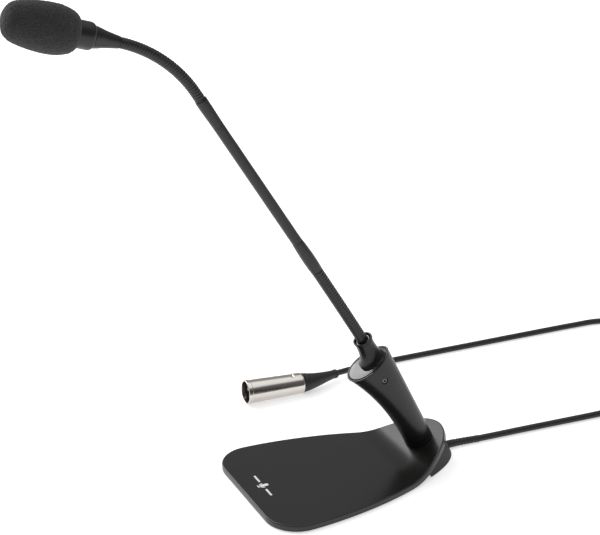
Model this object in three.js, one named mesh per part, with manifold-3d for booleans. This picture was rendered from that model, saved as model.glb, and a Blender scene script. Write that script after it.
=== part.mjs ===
// Desktop gooseneck microphone on a weighted base, with its attached cable and plug.
// Millimetres, +Z up, +Y towards the back of the base, origin on the table under the base's middle.
import * as THREE from "three";
import { mergeVertices } from "three/addons/utils/BufferGeometryUtils.js";
import Module from "manifold-3d";

const wasm = await Module();
wasm.setup();

// ---- driving dimensions ----
const GAP = 0.3; // clearance between neighbouring pieces
const plate = {
  frontY: -82, length: 159.3, halfWidth: 58.3, cornerRadius: 23.5, taperPower: 1.65,
  thickness: 4.4, top: 5.1, edgeBevel: 0.7, rampStart: 118, rampAngle: 26, bendRadius: 40,
};
const pad = { inset: 3.5, thickness: 0.4, backS: 104 };
const housing = { inset: 2.6, frontS: 124, boreRadius: 3, boreZ: 3.1 };
const column = {
  footY: 53.8, footZ: 18.9, topY: 13.2, topZ: 83.65, bow: 2,
  footLength: 10.2, topLength: 17.6, footWidth: 10.2, topWidth: 12.5,
  footTilt: 26, topTilt: 34, egg: 0.12, footT: -0.048,
};
const cap = { rim: 1.3, recess: 2.2, top: 0.2 };
const socket = { baseY: 16.9, baseZ: 86.2, tilt: 26, boreRadius: 8, depth: 26 };
const collar = { baseRadius: 10.2, waist: 6.35, mouthRadius: 6.95, length: 19.2, cavityRadius: 5.75, floor: 7 };
const collarRing = { from: -6, to: -1.2, inner: 4.25, outer: 4.85 };
const neckPlug = { radius: 7.4, wall: 1, length: 20 };
const neckPins = { radius: 1, circle: 3.4, length: 12 };
const plugPins = { radius: 1.2, circle: 4.3, length: 11 };
const neck = {
  startY: 8.13, startTilt: 30.94, lowerFlex: 67, lowerTurn: 1.2, upperStart: 217.8, upperFlex: 66.4,
  upperTurn: 40.4, bendFrom: 223, lowerRadius: 3.9, tubeRadius: 3.6, upperRadius: 3.5, hinge: 24,
  hingeStep: 20, ferrule: 27.2, ferruleEnd: 3.85, ferruleMiddle: 4.3, tubeEnd: 196, upperFerrule: 3.9,
};
const head = {
  cone: 16.9, neckRadius: 3.8, coneRadius: 7, housingRadius: 8.5, housing: 12.1, capsule: 18,
  foamFrom: 27.6, foam: 44.8, foamDroop: 1,
};
const cable = { radius: 2.4, exitY: 84.6, meanRadius: 26.5, bundleWide: 24, bundleHigh: 14.7 };
const xlr = { frontRadius: 9.45, backRadius: 8.15, length: 47.5, wall: 1.1, socketDepth: 17 };

const finish = {
  steel: { color: 0x161616, roughness: 0.45, metalness: 0.3 },
  satinBlack: { color: 0x1c1c1c, roughness: 0.4, metalness: 0 },
  glossBlack: { color: 0x121212, roughness: 0.12, metalness: 0 },
  rubber: { color: 0x232323, roughness: 0.9, metalness: 0 },
  greyPlastic: { color: 0x333332, roughness: 0.7, metalness: 0 },
  foam: { color: 0x2b2b2b, roughness: 1, metalness: 0 },
  nickel: { color: 0xb9b4ac, roughness: 0.28, metalness: 1 },
  gold: { color: 0xc9a24a, roughness: 0.3, metalness: 1 },
};

const rad = THREE.MathUtils.degToRad;
const group = new THREE.Group();
const v3 = (x, y, z) => new THREE.Vector3(x, y, z);

function addNode(parent, name, geometry, look) {
  const mesh = new THREE.Mesh(geometry, new THREE.MeshStandardMaterial(look));
  mesh.name = name;
  parent.add(mesh);
  return mesh;
}

// ---- solids and booleans ----
function toSolid(geometry) {
  const bare = geometry.index ? geometry.toNonIndexed() : geometry.clone();
  for (const key of Object.keys(bare.attributes)) {
    if (key !== "position") bare.deleteAttribute(key);
  }
  const merged = mergeVertices(bare, 1e-4);
  return new wasm.Manifold(
    new wasm.Mesh({
      numProp: 3,
      vertProperties: merged.attributes.position.array,
      triVerts: new Uint32Array(merged.index.array),
    }),
  );
}

function toGeometry(solid) {
  const mesh = solid.getMesh();
  const geometry = new THREE.BufferGeometry();
  geometry.setAttribute("position", new THREE.BufferAttribute(mesh.vertProperties, 3));
  geometry.setIndex(new THREE.BufferAttribute(mesh.triVerts, 1));
  geometry.computeVertexNormals();
  return geometry;
}

function cut(geometry, ...tools) {
  const left = tools.reduce((solid, tool) => solid.subtract(toSolid(tool)), toSolid(geometry));
  return toGeometry(left);
}

// Turns a closed skin's faces outwards where they were wound inwards.
function facingOut(geometry) {
  const { array: points } = geometry.attributes.position;
  const faces = geometry.index.array;
  const corner = (k) => v3(...points.slice(3 * faces[k], 3 * faces[k] + 3));
  let volume = 0;
  for (let k = 0; k < faces.length; k += 3) {
    volume += corner(k).dot(corner(k + 1).cross(corner(k + 2)));
  }
  if (volume < 0) faces.reverse();
  geometry.computeVertexNormals();
  return geometry;
}

// A closed skin over rings of equal length; the ends are fans about each end ring's middle.
function loft(rings) {
  const sides = rings[0].length;
  const points = rings.flat();
  const faces = [];
  for (let i = 0; i + 1 < rings.length; i++) {
    for (let k = 0; k < sides; k++) {
      const [a, b] = [i * sides + k, i * sides + ((k + 1) % sides)];
      faces.push(a, b, b + sides, a, b + sides, a + sides);
    }
  }
  for (const end of [0, rings.length - 1]) {
    const middle = rings[end].reduce((sum, p) => sum.add(p), v3(0, 0, 0)).divideScalar(sides);
    points.push(middle);
    for (let k = 0; k < sides; k++) {
      const [a, b] = [end * sides + k, end * sides + ((k + 1) % sides)];
      faces.push(...(end === 0 ? [b, a] : [a, b]), points.length - 1);
    }
  }
  const geometry = new THREE.BufferGeometry().setFromPoints(points);
  geometry.setIndex(faces);
  return facingOut(geometry);
}

function lathe(profile, sides = 24) {
  const geometry = new THREE.LatheGeometry(profile.map(([r, h]) => new THREE.Vector2(r, h)), sides);
  return facingOut(geometry.rotateX(Math.PI / 2)); // the turning axis becomes +Z
}

// A turned solid whose +Z lies in the YZ plane, leaning forward from upright by tilt degrees.
const leaning = (geometry, y, z, tilt) => geometry.rotateX(rad(tilt)).translate(0, y, z);

// ---- base plate, bent up at the back ----
// Point on the plate's top: x across, s along the unbent plate from its front edge, up off the top.
function onPlate(x, s, up) {
  const { frontY, top, rampStart, bendRadius, rampAngle } = plate;
  const angle = rad(rampAngle);
  const bendStart = rampStart - bendRadius * Math.tan(angle / 2);
  const turned = THREE.MathUtils.clamp((s - bendStart) / bendRadius, 0, angle);
  const straight = Math.max(s - bendStart - bendRadius * angle, 0);
  const y = Math.min(s, bendStart) + bendRadius * Math.sin(turned) + straight * Math.cos(turned);
  const z = bendRadius * (1 - Math.cos(turned)) + straight * Math.sin(turned);
  return v3(x, frontY + y - up * Math.sin(turned), top + z + up * Math.cos(turned));
}

function plateHalfWidth(s) {
  const { cornerRadius, length, halfWidth, taperPower } = plate;
  const share = THREE.MathUtils.clamp((s - cornerRadius) / (length - cornerRadius), 0, 1);
  return halfWidth * Math.sqrt(1 - share ** taperPower);
}

// Right half of the outline, from the front edge's end round to just short of the arched tip.
function plateOutline(inset = 0) {
  const { cornerRadius: r, length, halfWidth } = plate;
  const points = [];
  for (let i = 0; i < 9; i++) {
    const angle = (i / 8) * (Math.PI / 2);
    const [x, s] = [halfWidth - r + r * Math.sin(angle), r - r * Math.cos(angle)];
    points.push([x - inset * Math.sin(angle), s + inset * Math.cos(angle)]);
  }
  for (let i = 1; i <= 26; i++) {
    const s = r + (length - r) * Math.sin((i / 26.35) * (Math.PI / 2));
    const slope = (plateHalfWidth(s + 0.01) - plateHalfWidth(s - 0.01)) / 0.02;
    const unit = Math.hypot(1, slope);
    points.push([plateHalfWidth(s) - inset / unit, s + (inset * slope) / unit]);
  }
  return points.filter(([x]) => x > 0.5);
}

function plateGeometry() {
  const { thickness, edgeBevel } = plate;
  const outer = plateOutline();
  const inner = plateOutline(edgeBevel).slice(0, outer.length);
  const rings = outer.map(([x, s], i) => {
    const [xi, si] = inner[Math.min(i, inner.length - 1)];
    const right = [
      onPlate(xi, si, -thickness),
      onPlate(x, s, -thickness + edgeBevel),
      onPlate(x, s, -edgeBevel),
      onPlate(xi, si, 0),
    ];
    const left = right.map((p) => v3(-p.x, p.y, p.z)).reverse();
    return [...right, ...left];
  });
  return loft(rings);
}

function flatOutline(points, depth) {
  const loop = [...points, ...points.map(([x, s]) => [-x, s]).reverse()];
  const shape = new THREE.Shape(loop.map(([x, s]) => new THREE.Vector2(x, s)));
  return new THREE.ExtrudeGeometry(shape, { depth, bevelEnabled: false, steps: 1 });
}

function padGeometry() {
  const outline = plateOutline(pad.inset).filter(([, s]) => s < pad.backS);
  return flatOutline(outline, pad.thickness).translate(0, plate.frontY, 0);
}

// Cable housing under the ramp: the ramp's outline carried square to the ramp down to the table.
function housingGeometry() {
  const outline = plateOutline(housing.inset).filter(([, s]) => s > housing.frontS);
  const block = flatOutline(outline, 45).translate(0, -plate.rampStart, -45);
  const foot = onPlate(0, plate.rampStart + 20, -plate.thickness - GAP);
  const slope = rad(plate.rampAngle);
  block.rotateX(slope);
  block.translate(0, foot.y - 20 * Math.cos(slope), foot.z - 20 * Math.sin(slope));
  const below = new THREE.BoxGeometry(300, 300, 100).translate(0, 0, -50);
  const bore = new THREE.CylinderGeometry(housing.boreRadius, housing.boreRadius, 40, 20);
  return cut(block, below, bore.translate(0, cable.exitY, housing.boreZ));
}

// ---- column ----
function columnFrame(t) {
  const c = column;
  const clamped = Math.max(t, 0);
  const lift = 4 * c.bow * t * (1 - t);
  return {
    y: THREE.MathUtils.lerp(c.footY, c.topY, t) + lift * 0.87,
    z: THREE.MathUtils.lerp(c.footZ, c.topZ, t) + lift * 0.5,
    tilt: THREE.MathUtils.lerp(c.footTilt, c.topTilt, clamped),
    long: c.footLength + (c.topLength - c.footLength) * (1.14 * clamped - 0.14) * clamped,
    wide: c.footWidth + (c.topWidth - c.footWidth) * (1.67 - 0.67 * clamped) * clamped,
    egg: c.egg * clamped,
  };
}

function ovalRing(t, grow = 0, up = 0, sides = 32) {
  const f = columnFrame(t);
  const [sin, cos] = [Math.sin(rad(f.tilt)), Math.cos(rad(f.tilt))];
  return Array.from({ length: sides }, (_, k) => {
    const angle = (k / sides) * 2 * Math.PI;
    const along = (f.long + grow) * Math.cos(angle);
    const across = (f.wide + grow) * Math.sin(angle) * (1 - f.egg * Math.cos(angle));
    return v3(-across, f.y + along * cos - up * sin, f.z + along * sin + up * cos);
  });
}

const socketBore = (radius, from, to) =>
  leaning(
    new THREE.CylinderGeometry(radius, radius, to - from, 28)
      .rotateX(Math.PI / 2)
      .translate(0, 0, (from + to) / 2),
    socket.baseY,
    socket.baseZ,
    socket.tilt,
  );

function columnGeometry() {
  const levels = Array.from({ length: 12 }, (_, i) => column.footT + (1 - column.footT) * (i / 11));
  const foot = [ovalRing(column.footT, 0.4), ovalRing(column.footT, 0.2, 0.5)];
  const body = loft([...foot, ...levels.slice(1).map((t) => ovalRing(t))]);
  const recess = loft([ovalRing(1, -cap.rim, -cap.recess), ovalRing(1, -cap.rim, 3)]);
  const screwHole = new THREE.CylinderGeometry(screw.radius + GAP, screw.radius + GAP, 12, 16);
  screwHole.rotateZ(Math.PI / 2).translate(12, screw.y, screw.z);
  return cut(body, recess, socketBore(socket.boreRadius, -socket.depth, 6), screwHole);
}

function capGeometry() {
  const rim = cap.rim + GAP;
  const oval = loft([ovalRing(1, -rim, GAP - cap.recess), ovalRing(1, -rim, cap.top)]);
  return cut(oval, socketBore(socket.boreRadius, -12, 12));
}

// Grub screw in the column's right wall, with a hexagonal socket.
const screw = { radius: 2, length: 3.6, x: 11.35, y: 20.4, z: 73.6 };
function screwGeometry() {
  const body = new THREE.CylinderGeometry(screw.radius, screw.radius, screw.length, 18);
  const key = new THREE.CylinderGeometry(1, 1, 3, 6).translate(0, screw.length / 2, 0);
  return cut(body, key).rotateZ(-Math.PI / 2).translate(screw.x - screw.length / 2, screw.y, screw.z);
}

// ---- connector between column and neck ----
// Three contacts a quarter turn apart; the fourth quarter is left free.
function onPinCircle(index, circle) {
  const angle = (index + 1) * (Math.PI / 2);
  return [circle * Math.sin(angle), circle * Math.cos(angle)];
}

function socketInsertGeometry() {
  const { depth } = socket;
  const body = lathe([[0, GAP - depth], [7.6, GAP - depth], [7.6, -22.6], [6, -22.6], [6, -9], [0, -9]]);
  const holes = [0, 1, 2].map((i) => {
    const [x, y] = onPinCircle(i, neckPins.circle);
    return new THREE.CylinderGeometry(1.35, 1.35, 24, 12).rotateX(Math.PI / 2).translate(x, y, -9);
  });
  return leaning(cut(body, ...holes), socket.baseY, socket.baseZ, socket.tilt);
}

// Half-space beyond the cap's face; up is measured off that face.
function capSide(up, above) {
  const f = columnFrame(1);
  const box = new THREE.BoxGeometry(80, 80, 60).translate(0, 0, above ? 30 + up : up - 30);
  return leaning(box, f.y, f.z, 0).translate(0, -f.y, -f.z).rotateX(rad(f.tilt)).translate(0, f.y, f.z);
}

function collarGeometry() {
  const { baseRadius: b, mouthRadius: m, length: h, cavityRadius: c, floor } = collar;
  const { waist: w } = collar;
  const profile = [[0, -2], [b, -2], [b, 0.8], [w + 2.7, 2.4], [w + 1.7, 4.4], [w + 0.8, 7.6], [w, 12], [w, h - 2.6]];
  profile.push([m, h - 1.8], [m, h - 0.3], [m - 0.3, h], [c + 0.3, h], [c, h - 0.3], [c, floor], [0, floor]);
  const body = leaning(lathe(profile, 32), socket.baseY, socket.baseZ, socket.tilt);
  return cut(body, capSide(cap.top + GAP, false));
}

function collarRingGeometry() {
  const { from, to, inner, outer } = collarRing;
  const start = neckAt(0);
  const profile = [[inner, from], [outer, from], [outer, to], [inner, to], [inner, from]];
  return leaning(lathe(profile), start.y, start.z, neck.startTilt);
}

function plugShellGeometry() {
  const { radius: r, wall, length } = neckPlug;
  const profile = [[0, 2], [0, -1], [r - wall, -1], [r - wall, -length], [r, -length], [r, 2], [0, 2]];
  const body = leaning(lathe(profile.reverse(), 28), socket.baseY, socket.baseZ, socket.tilt);
  return cut(body, capSide(cap.top, true));
}

const plugInsertGeometry = () =>
  leaning(lathe([[0, -6], [6.1, -6], [6.1, -1.3], [0, -1.3]]), socket.baseY, socket.baseZ, socket.tilt);

// A pin that stands up from z = 0 to its rounded tip.
function pinGeometry(index, { radius: r, circle, length }) {
  const [x, y] = onPinCircle(index, circle);
  const profile = [[0, 0], [r, 0], [r, length - 0.8], [r * 0.5, length], [0, length]];
  return lathe(profile, 12).translate(x, y, 0);
}

// ---- neck: one line in the YZ plane from the collar's mouth, leaning further forward as it rises ----
function neckAt(distance) {
  const step = 1;
  let [y, z] = [neck.startY, socket.baseZ + collar.length * Math.cos(rad(socket.tilt))];
  for (let d = 0; d < distance; d += step) {
    const tilt = rad(neckTilt(d + step / 2));
    const part = Math.min(step, distance - d);
    y -= part * Math.sin(tilt);
    z += part * Math.cos(tilt);
  }
  if (distance < 0) {
    y -= distance * Math.sin(rad(neck.startTilt));
    z += distance * Math.cos(rad(neck.startTilt));
  }
  return v3(0, y, z);
}

function neckTilt(d) {
  const lower = THREE.MathUtils.clamp(d / neck.lowerFlex, 0, 1) * neck.lowerTurn;
  const bendLength = neck.upperStart + neck.upperFlex - neck.bendFrom;
  const upper = THREE.MathUtils.clamp((d - neck.bendFrom) / bendLength, 0, 1) * neck.upperTurn;
  return neck.startTilt + lower + upper;
}

// A round rod along the neck; radii are [distance, radius] pairs.
function neckRod(radii, sides = 16) {
  const rings = radii.map(([d, r]) => {
    const middle = neckAt(d);
    const tilt = rad(neckTilt(d));
    return Array.from({ length: sides }, (_, k) => {
      const angle = (k / sides) * 2 * Math.PI;
      const [x, up] = [r * Math.cos(angle), r * Math.sin(angle)];
      return v3(x, middle.y + up * Math.cos(tilt), middle.z + up * Math.sin(tilt));
    });
  });
  return loft(rings);
}

function evenRod(from, to, radius, count) {
  return neckRod(Array.from({ length: count + 1 }, (_, i) => [from + ((to - from) * i) / count, radius]));
}

function flexNodes(parent, name, from, to, radius, cuts) {
  const edges = [from, ...cuts, to];
  return ["base", "middle", "top"].map((label, i) => {
    const [a, b] = [edges[i] + (i ? GAP / 2 : 0), edges[i + 1] - (i < 2 ? GAP / 2 : 0)];
    return addNode(parent, `${name}_${label}`, evenRod(a, b, radius, Math.ceil((b - a) / 6)), finish.rubber);
  });
}

// A barrel-shaped sleeve between the flexible and the rigid length.
function ferruleGeometry() {
  const { lowerFlex: from, ferrule: length, ferruleEnd: end, ferruleMiddle: middle } = neck;
  return neckRod([
    [from + GAP, end], [from + 1, end + 0.25], [from + length * 0.45, middle],
    [from + length - 0.8, end], [from + length, end - 0.2],
  ], 24);
}

// A sleeve that swells from the tube towards the upper flexible length.
function upperFerruleGeometry() {
  const { tubeEnd: from, tubeRadius: thin, upperFerrule: wide, upperStart: end } = neck;
  return neckRod([[from + GAP, thin], [from + 8, thin + 0.12], [end - 7, wide], [end - GAP, wide]], 24);
}

// ---- head ----
const headStart = neck.upperStart + neck.upperFlex;
function onHead(geometry) {
  const start = neckAt(headStart);
  return leaning(geometry, start.y, start.z, neckTilt(headStart));
}

function coneGeometry() {
  const { cone, neckRadius: n, coneRadius: r } = head;
  const profile = [[0, GAP], [n, GAP], [n + 0.25, 2], [n + 0.9, 6], [n + 1.55, 9.5], [n + 2.4, 13], [r, cone]];
  return onHead(lathe([...profile, [0, cone]], 28));
}

function capsuleHousingGeometry() {
  const { cone, coneRadius: r, housingRadius: h, housing: long } = head;
  const [a, b] = [cone + GAP, cone + long];
  return onHead(lathe([[0, a], [r, a], [h - 0.5, a + 0.9], [h, a + 2.1], [h, b - 0.4], [h - 0.3, b], [0, b]], 28));
}

function capsuleGeometry() {
  const a = head.cone + head.housing + GAP;
  return onHead(lathe([[0, a], [6, a], [6, a + head.capsule], [0, a + head.capsule]], 24));
}

function grilleGeometry() {
  const a = head.cone + head.housing + head.capsule + 2 * GAP;
  const b = a + 5.4;
  return onHead(lathe([[0, a], [6.1, a], [6.1, b - 1.6], [4.6, b], [0, b]], 24));
}

// Foam cover: open at the back, rounded at the nose.
function foamGeometry() {
  const { foam, foamDroop: droop, housingRadius: h } = head;
  const outside = [
    [0, 0], [h + 1.4, 0], [h + 2.9, 1.4], [12.6, 3.2], [13.8, 6.7], [14.65, 10.3], [15.05, 14.7], [15, 19],
    [14.7, 23], [14.15, 28], [13.5, 31.6], [12.7, 35.1], [11.6, 38.7], [10.5, 40.4], [8.9, 42.2], [5.5, 44],
    [0, foam],
  ];
  const body = lathe(outside, 32).translate(0, 0, -8).rotateX(rad(droop)).translate(0, 0, 8);
  const bore = lathe([[0, -3], [h + GAP, -3], [h + GAP, 1.8], [6.7, 2.2], [6.7, 33.5], [0, 33.5]], 32);
  return onHead(cut(body, bore).translate(0, 0, head.foamFrom));
}

// ---- cable, coil and plug ----
const outRoute = [
  [0, 84.9, 3.1], [0.2, 95, 2.7], [1.2, 108, 2.45], [3.2, 140, 2.45], [5.6, 175, 2.45],
  [8, 212, 2.45], [8.6, 245, 2.45], [6.6, 278, 2.45], [4, 300, 2.45], [3.7, 309, 2.45],
];
const backRoute = [
  [-37.5, 350.2, 2.45], [-62, 350, 2.45], [-88, 347.5, 2.45], [-110, 341, 2.45], [-126, 329, 2.45],
  [-133.8, 312, 2.45], [-135.8, 290, 2.45], [-138, 240, 2.45], [-140, 185, 2.45], [-142.4, 125, 2.45],
  [-142.4, 105, 2.75], [-141, 88, 3.6], [-138.2, 72, 4.9], [-134.4, 57.8, 6.3],
];
const bootRoute = [
  [-127.59, 24, 8.18], [-127.4, 29, 8.05], [-128.8, 39, 7.7], [-131.4, 48.5, 7.1], [-134.2, 57.5, 6.3],
];
const coilCentre = { x: -37.5, y: 309 };
const plugFront = v3(-129.6, -24, 9.47);
const plugBack = v3(-127.6, 23.5, 8.2);

const curveThrough = (points) => new THREE.CatmullRomCurve3(points.map((p) => v3(...p)), false, "centripetal");

function tubeGeometry(curve, radius, steps, sides) {
  const section = new THREE.Shape();
  for (let k = 0; k < sides; k++) {
    const angle = (k / sides) * 2 * Math.PI;
    const [x, y] = [radius * Math.cos(angle), radius * Math.sin(angle)];
    if (k) section.lineTo(x, y);
    else section.moveTo(x, y);
  }
  return new THREE.ExtrudeGeometry(section, { extrudePath: curve, steps, bevelEnabled: false });
}

function taperedAlong(curve, radiusAt, steps, sides = 20) {
  const rings = [];
  for (let i = 0; i <= steps; i++) {
    const middle = curve.getPointAt(i / steps);
    const forward = curve.getTangentAt(i / steps);
    const side = v3(forward.y, -forward.x, 0).normalize();
    const up = side.clone().cross(forward).normalize();
    rings.push(Array.from({ length: sides }, (_, k) => {
      const angle = (k / sides) * 2 * Math.PI;
      const r = radiusAt(i / steps);
      return middle.clone().addScaledVector(side, -r * Math.cos(angle)).addScaledVector(up, r * Math.sin(angle));
    }));
  }
  return loft(rings);
}

function bushingGeometry() {
  const [r, long] = [housing.boreRadius - GAP, 11];
  return new THREE.CylinderGeometry(r, r, long, 20).translate(0, cable.exitY - long / 2, housing.boreZ);
}

function coilGeometry() {
  const [inner, outer] = [cable.meanRadius - cable.bundleWide / 2, cable.meanRadius + cable.bundleWide / 2];
  const high = cable.bundleHigh;
  const profile = [
    [inner + 2, 0], [outer - 2, 0], [outer, 2], [outer, high - 2], [outer - 2, high],
    [inner + 2, high], [inner, high - 2], [inner, 2], [inner + 2, 0],
  ];
  return lathe(profile, 40).translate(coilCentre.x, coilCentre.y, 0);
}

// Strap over the coil's bundle, on the side away from both cable ends.
function tieGeometry() {
  const [band, thick] = [6, 0.9];
  const [wide, high] = [cable.bundleWide + 4 * GAP, cable.bundleHigh + GAP];
  const outer = new THREE.BoxGeometry(wide + 2 * thick, band, high + thick).translate(0, 0, (high + thick) / 2);
  const inner = new THREE.BoxGeometry(wide, band + 2, high * 2);
  const strap = cut(outer, inner).translate(cable.meanRadius, 0, 0).rotateZ(rad(225));
  return strap.translate(coilCentre.x, coilCentre.y, 0);
}

// Anything turned about +Z, laid along the plug with +Z towards its open mouth.
function alongPlug(geometry) {
  const forward = plugFront.clone().sub(plugBack).normalize();
  const turn = new THREE.Quaternion().setFromUnitVectors(v3(0, 0, 1), forward);
  return geometry.applyQuaternion(turn).translate(plugBack.x, plugBack.y, plugBack.z);
}

function xlrShellGeometry() {
  const { frontRadius: f, backRadius: b, length: h, wall, socketDepth } = xlr;
  const profile = [[0, 0], [b - 0.4, 0], [b, 0.5], [f - 0.15, h - 3], [f, h - 2.6], [f, h - 0.5], [f - 0.4, h]];
  profile.push([f - wall, h], [f - wall, h - socketDepth], [0, h - socketDepth]);
  return alongPlug(lathe(profile, 32));
}

const xlrFloor = xlr.length - xlr.socketDepth;
function xlrInsertGeometry() {
  const r = xlr.frontRadius - xlr.wall - GAP;
  const [from, to] = [xlrFloor + GAP, xlrFloor + GAP + 2.6];
  return alongPlug(lathe([[0, from], [r, from], [r, to], [0, to]]));
}

// ---- assembly ----
const base = new THREE.Group();
addNode(base, "base_plate", plateGeometry(), finish.steel);
addNode(base, "rubber_pad", padGeometry(), finish.rubber);
addNode(base, "cable_housing", housingGeometry(), finish.greyPlastic);
addNode(base, "cable_bushing", bushingGeometry(), finish.rubber);
addNode(base, "column", columnGeometry(), finish.satinBlack);
addNode(base, "column_cap", capGeometry(), finish.glossBlack);
addNode(base, "locking_screw", screwGeometry(), finish.satinBlack);
addNode(base, "socket_insert", socketInsertGeometry(), finish.satinBlack);

const gooseneck = new THREE.Group();
addNode(gooseneck, "collar", collarGeometry(), finish.glossBlack);
addNode(gooseneck, "collar_ring", collarRingGeometry(), finish.nickel);
addNode(gooseneck, "neck_plug_shell", plugShellGeometry(), finish.nickel);
addNode(gooseneck, "neck_plug_insert", plugInsertGeometry(), finish.satinBlack);
for (let i = 0; i < 3; i++) {
  const down = pinGeometry(i, neckPins).rotateY(Math.PI).translate(0, 0, -6 - GAP);
  const pin = leaning(down, socket.baseY, socket.baseZ, socket.tilt);
  addNode(gooseneck, `neck_pin_${i + 1}`, pin, finish.gold);
}
flexNodes(gooseneck, "lower_flex", collar.floor + 1 - collar.length, neck.lowerFlex, neck.lowerRadius, [
  neck.hinge, neck.hinge + neck.hingeStep,
]);
addNode(gooseneck, "lower_ferrule", ferruleGeometry(), finish.satinBlack);
const tubeStart = neck.lowerFlex + neck.ferrule + GAP;
addNode(gooseneck, "neck_tube", evenRod(tubeStart, neck.tubeEnd, neck.tubeRadius, 2), finish.satinBlack);
addNode(gooseneck, "upper_ferrule", upperFerruleGeometry(), finish.satinBlack);
flexNodes(gooseneck, "upper_flex", neck.upperStart, headStart, neck.upperRadius, [
  neck.upperStart + neck.hinge, neck.upperStart + neck.hinge + neck.hingeStep,
]);
addNode(gooseneck, "head_cone", coneGeometry(), finish.satinBlack);
addNode(gooseneck, "capsule_housing", capsuleHousingGeometry(), finish.satinBlack);
addNode(gooseneck, "mic_capsule", capsuleGeometry(), finish.nickel);
addNode(gooseneck, "capsule_grille", grilleGeometry(), finish.steel);
addNode(gooseneck, "foam_windscreen", foamGeometry(), finish.foam);

const cord = new THREE.Group();
addNode(cord, "cable_out", tubeGeometry(curveThrough(outRoute), cable.radius, 18, 10), finish.rubber);
addNode(cord, "cable_coil", coilGeometry(), finish.rubber);
addNode(cord, "coil_tie", tieGeometry(), finish.rubber);
addNode(cord, "cable_back", tubeGeometry(curveThrough(backRoute), cable.radius, 28, 10), finish.rubber);
const bootRadius = (t) => cable.radius + 1 + 4.4 * (1 - t) ** 1.7;
addNode(cord, "plug_boot", taperedAlong(curveThrough(bootRoute), bootRadius, 10), finish.rubber);
addNode(cord, "plug_shell", xlrShellGeometry(), finish.nickel);
addNode(cord, "plug_insert", xlrInsertGeometry(), finish.satinBlack);
for (let i = 0; i < 3; i++) {
  const pin = alongPlug(pinGeometry(i, plugPins).translate(0, 0, xlrFloor + 2.6 + 2 * GAP));
  addNode(cord, `plug_pin_${i + 1}`, pin, finish.gold);
}

group.add(base, gooseneck, cord);
export default group;
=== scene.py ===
import math
import bmesh
import bpy
import numpy as np
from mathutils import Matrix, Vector


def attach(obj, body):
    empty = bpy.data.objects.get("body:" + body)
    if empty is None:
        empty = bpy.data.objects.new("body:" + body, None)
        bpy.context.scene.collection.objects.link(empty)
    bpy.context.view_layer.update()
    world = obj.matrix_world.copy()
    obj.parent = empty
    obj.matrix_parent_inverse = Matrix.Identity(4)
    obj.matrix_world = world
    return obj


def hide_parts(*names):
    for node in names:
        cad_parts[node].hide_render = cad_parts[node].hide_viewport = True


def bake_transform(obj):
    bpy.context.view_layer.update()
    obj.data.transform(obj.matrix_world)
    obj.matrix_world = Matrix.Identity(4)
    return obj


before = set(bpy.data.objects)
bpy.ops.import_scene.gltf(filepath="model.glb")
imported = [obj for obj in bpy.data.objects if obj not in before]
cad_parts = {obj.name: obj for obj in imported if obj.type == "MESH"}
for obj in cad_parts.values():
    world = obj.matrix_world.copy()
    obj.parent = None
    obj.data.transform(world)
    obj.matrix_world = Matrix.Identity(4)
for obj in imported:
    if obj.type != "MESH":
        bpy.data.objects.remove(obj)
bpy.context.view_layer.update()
mm = 0.001  # shapes are worked out in millimetres and stored in metres
fullTurn = 2 * math.pi


camera = {"place": (0.8281, -0.4378, 0.5419), "down": 22.3, "turn": 64.3, "lens": 90, "sensor": 36}


def addCamera():
    data = bpy.data.cameras.new("camera")
    data.lens, data.sensor_width, data.sensor_fit = camera["lens"], camera["sensor"], "HORIZONTAL"
    data.clip_start, data.clip_end = 0.05, 80
    eye = bpy.data.objects.new("camera", data)
    bpy.context.scene.collection.objects.link(eye)
    eye.location = camera["place"]
    eye.rotation_euler = (math.radians(90 - camera["down"]), 0, math.radians(camera["turn"]))
    bpy.context.scene.camera = eye


def smoothStep(value, low, high):
    share = np.clip((value - low) / (high - low), 0, 1)
    return share * share * (3 - 2 * share)


# Evenly spaced angles once round, and over a quarter turn with both its ends.
def around(sides):
    return np.arange(sides) * fullTurn / sides


def quarter(count):
    return np.linspace(0, math.pi / 2, count)


# Quads between neighbouring rings of points, round each ring; open ends are fans about a middle point.
def skin(rings, closed=False):
    rows, columns = rings.shape[:2]
    ids = np.arange(rows * columns).reshape(rows, columns)
    near, far = (ids, np.roll(ids, -1, 0)) if closed else (ids[:-1], ids[1:])
    quads = np.stack([near, np.roll(near, -1, 1), np.roll(far, -1, 1), far], -1).reshape(-1, 4)
    points, fans = rings.reshape(-1, 3), np.zeros((0, 3), int)
    if not closed:
        middles = rings[[0, -1]].mean(1)
        start, end = rows * columns, rows * columns + 1
        first = np.stack([np.roll(ids[0], -1), ids[0], np.full(columns, start)], -1)
        last = np.stack([ids[-1], np.roll(ids[-1], -1), np.full(columns, end)], -1)
        points, fans = np.vstack([points, middles]), np.vstack([first, last])
    return points, quads, fans


# Turns a closed skin's faces outwards: its signed volume, summed over its triangles, has to be positive.
def facingOut(points, quads, fans):
    faces = np.vstack([quads[:, :3], quads[:, [0, 2, 3]], fans])
    a, b, c = (points[faces[:, k]] for k in range(3))
    if (a * np.cross(b, c)).sum() < 0:
        quads, fans = quads[:, ::-1], fans[:, ::-1]
    return points, quads, fans


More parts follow.
